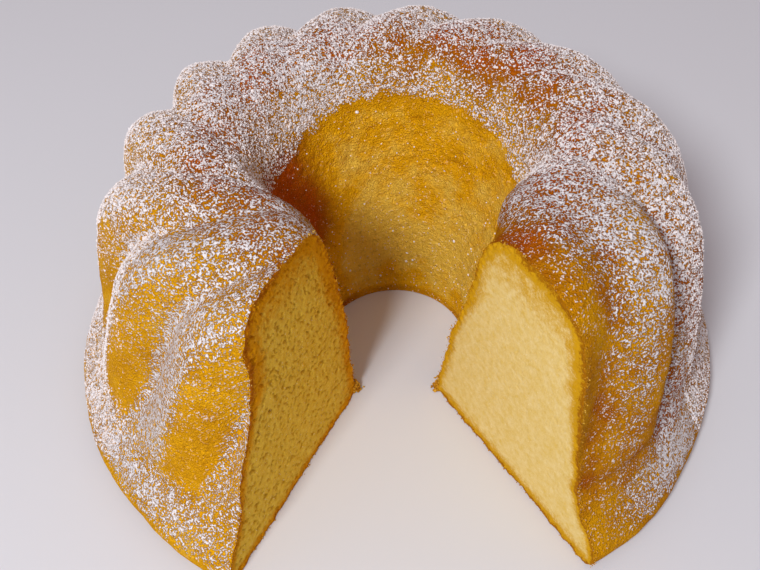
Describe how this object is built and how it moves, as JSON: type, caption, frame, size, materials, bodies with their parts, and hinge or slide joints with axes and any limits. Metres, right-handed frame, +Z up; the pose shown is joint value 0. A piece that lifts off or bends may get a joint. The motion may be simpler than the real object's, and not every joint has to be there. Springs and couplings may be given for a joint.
{
  "type": "fluted ring cake",
  "caption": "Tall ring cake with swirled flutes, a flared foot and a flared middle hole, dusted with sugar, one slice cut out.",
  "frame": {"origin": "middle of the bounding box, on the plane the cake stands on", "axes": "+Z up, out of the fluted top; the cut-out slice faces -Y"},
  "size_m": [0.2492, 0.2356, 0.1114],
  "materials": {
    "crust": null
  },
  "bodies": {
    "root": {"cake": "crust"}
  },
  "joints": []
}
